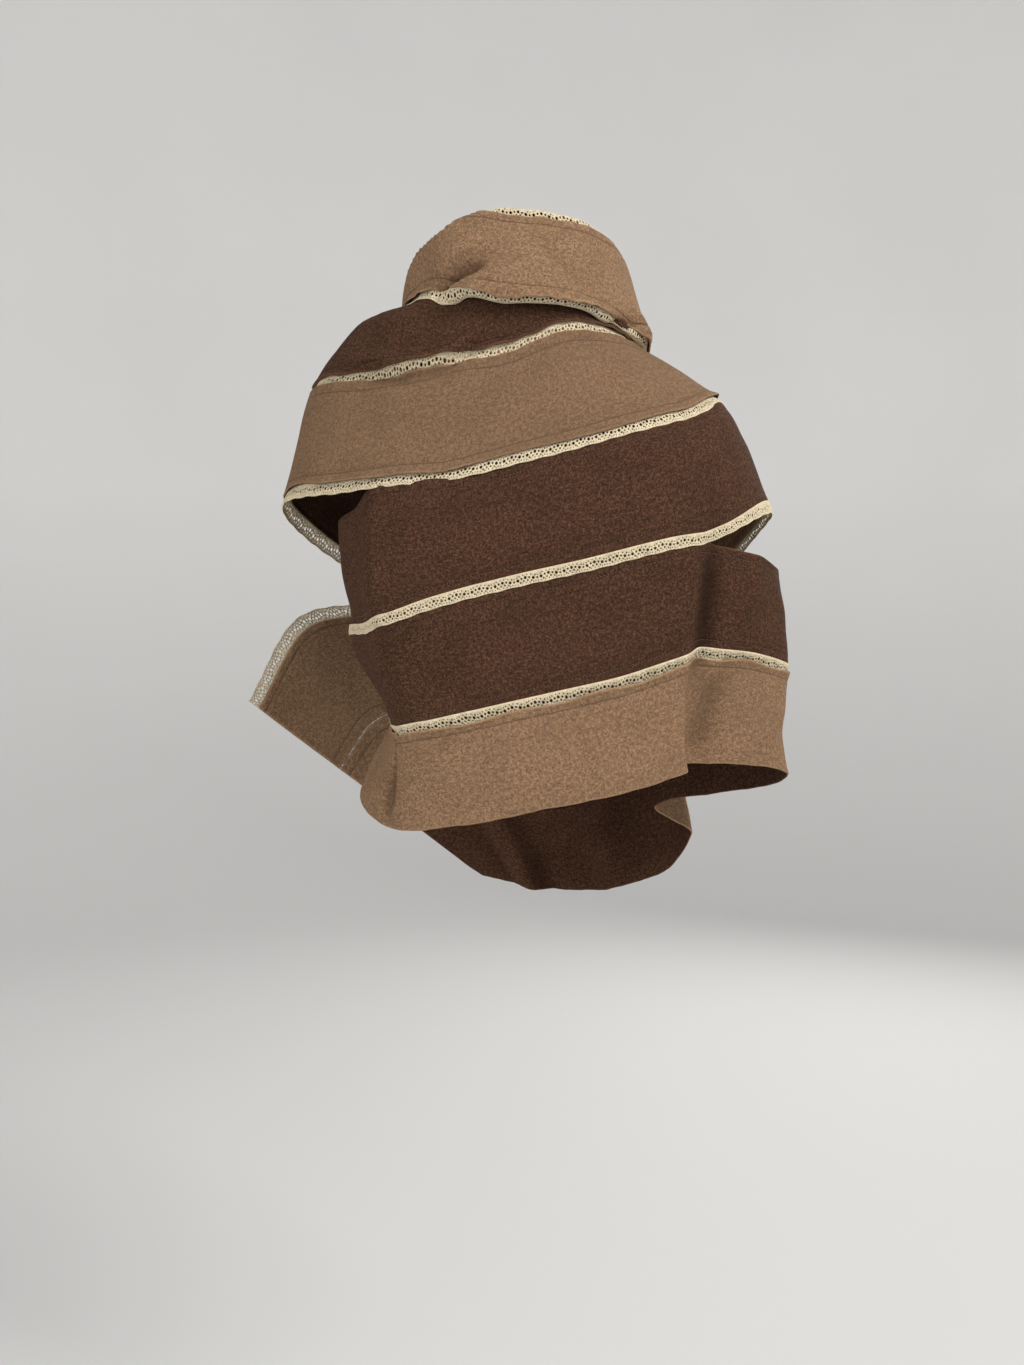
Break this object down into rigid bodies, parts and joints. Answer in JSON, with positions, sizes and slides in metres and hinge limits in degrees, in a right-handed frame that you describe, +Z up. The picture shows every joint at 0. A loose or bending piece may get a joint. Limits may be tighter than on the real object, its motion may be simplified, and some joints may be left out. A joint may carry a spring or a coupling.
{
  "type": "wrap cape of felt strips joined by lace, in worn form",
  "caption": "Asymmetric wrap cape of camel and brown felt strips joined by narrow cream lace, with a high cowl neck and arm slits, in its worn form.",
  "frame": {"origin": "middle of the neck's base, level with the wearer's shoulders, where the cape rests on the wearer", "axes": "+Z up, +Y the way the wearer faces, +X the wearer's right"},
  "size_m": [0.5142, 0.2916, 0.6368],
  "materials": {
    "camel_felt": "soft felted wool, camel outside and brown inside",
    "brown_felt": "soft felted wool, heathered brown outside and camel inside",
    "cotton_lace": "matte cotton lace"
  },
  "bodies": {
    "root": {"neck_strip": "brown_felt", "lace_neck": "cotton_lace", "cowl_strip": "camel_felt", "lace_cowl": "cotton_lace", "shoulder_strip": "brown_felt", "lace_shoulder": "cotton_lace", "yoke_strip": "camel_felt", "lace_yoke": "cotton_lace", "upper_strip": "brown_felt", "lace_slit": "cotton_lace", "lace_front_edge": "cotton_lace", "middle_strip": "brown_felt", "lace_hem": "cotton_lace", "hem_strip": "camel_felt"}
  },
  "joints": []
}
